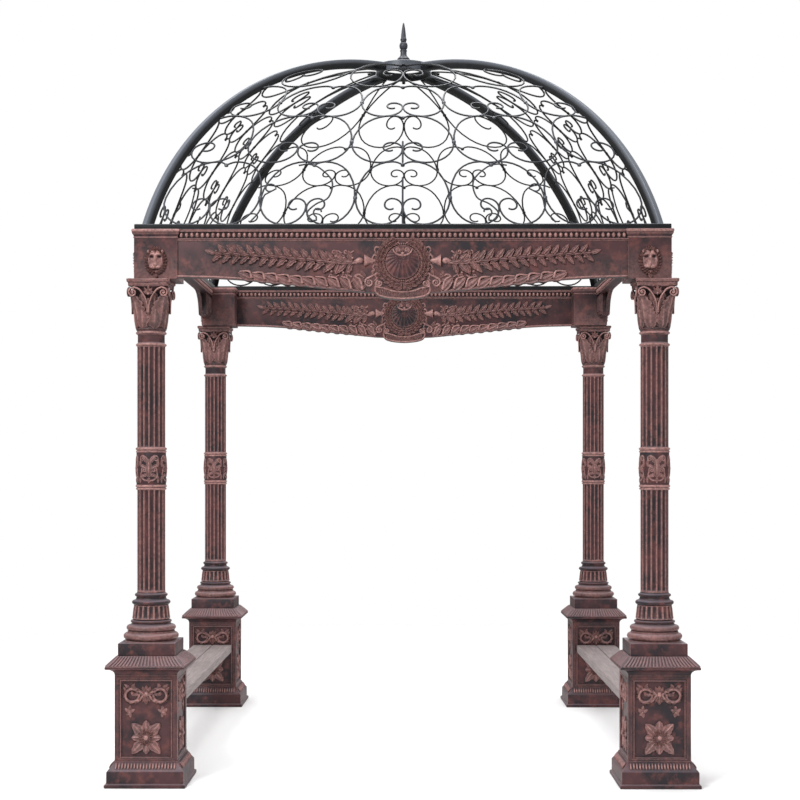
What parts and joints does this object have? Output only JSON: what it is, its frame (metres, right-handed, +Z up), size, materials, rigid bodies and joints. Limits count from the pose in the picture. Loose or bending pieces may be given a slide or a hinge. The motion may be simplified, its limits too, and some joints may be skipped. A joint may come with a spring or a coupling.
{
  "type": "garden pavilion",
  "caption": "Square open garden pavilion of cast metal: fluted columns on relief pedestals carry ornamented beams, side seats and an open wrought scrollwork dome.",
  "frame": {"origin": "middle of the square plan at ground level", "axes": "+Z up, the longest extent; the front faces -Y; the seats run along Y at -X and +X"},
  "size_m": [3.01, 3.01, 4.298],
  "materials": {
    "cast_body": "oxblood patina over cast metal, rubbed to copper pink on raised edges, near black in recesses",
    "dome_iron": "charcoal paint, satin, a little worn on edges",
    "seat_board": "weathered greyish brown boards, matt"
  },
  "bodies": {
    "root": {"pedestal_front_left": "cast_body", "column_base_front_left": "cast_body", "column_shaft_front_left": "cast_body", "capital_front_left": "cast_body", "corner_block_front_left": "cast_body", "lion_masks_front_left": "cast_body", "dome_rib_front_left": "dome_iron", "pedestal_front_right": "cast_body", "column_base_front_right": "cast_body", "column_shaft_front_right": "cast_body", "capital_front_right": "cast_body", "corner_block_front_right": "cast_body", "lion_masks_front_right": "cast_body", "dome_rib_front_right": "dome_iron", "pedestal_back_left": "cast_body", "column_base_back_left": "cast_body", "column_shaft_back_left": "cast_body", "capital_back_left": "cast_body", "corner_block_back_left": "cast_body", "lion_masks_back_left": "cast_body", "dome_rib_back_left": "dome_iron", "pedestal_back_right": "cast_body", "column_base_back_right": "cast_body", "column_shaft_back_right": "cast_body", "capital_back_right": "cast_body", "corner_block_back_right": "cast_body", "lion_masks_back_right": "cast_body", "dome_rib_back_right": "dome_iron", "beam_front": "cast_body", "dome_rail_front": "dome_iron", "scroll_panel_front": "dome_iron", "beam_back": "cast_body", "dome_rail_back": "dome_iron", "scroll_panel_back": "dome_iron", "beam_left": "cast_body", "dome_rail_left": "dome_iron", "scroll_panel_left": "dome_iron", "beam_right": "cast_body", "dome_rail_right": "dome_iron", "scroll_panel_right": "dome_iron", "seat_left": "seat_board", "seat_right": "seat_board", "crown_ring": "dome_iron", "finial": "dome_iron"}
  },
  "joints": []
}
